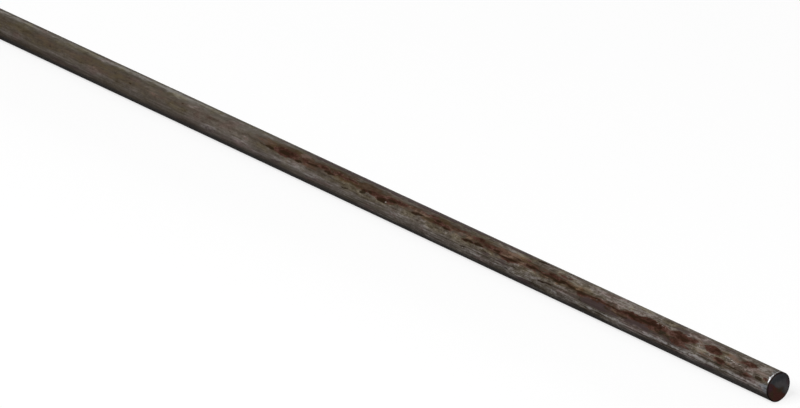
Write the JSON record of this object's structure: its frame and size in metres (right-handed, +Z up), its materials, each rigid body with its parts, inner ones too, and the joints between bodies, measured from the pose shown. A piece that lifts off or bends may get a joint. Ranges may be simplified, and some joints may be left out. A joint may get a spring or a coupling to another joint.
{
  "type": "round steel bar",
  "caption": "Straight solid round bar of hot-rolled mild steel stock, scaly and rust-patched, with ground bevels on both sawn ends.",
  "frame": {"origin": "the middle of the bar, on its axis", "axes": "+X along the bar's axis, +Y level across it, +Z up; the floor that the bar lies on is half a diameter below the origin"},
  "size_m": [0.9144, 0.0126, 0.0126],
  "materials": {
    "mill_scale_steel": "matte"
  },
  "bodies": {
    "root": {"round_bar": "mill_scale_steel"}
  },
  "joints": []
}
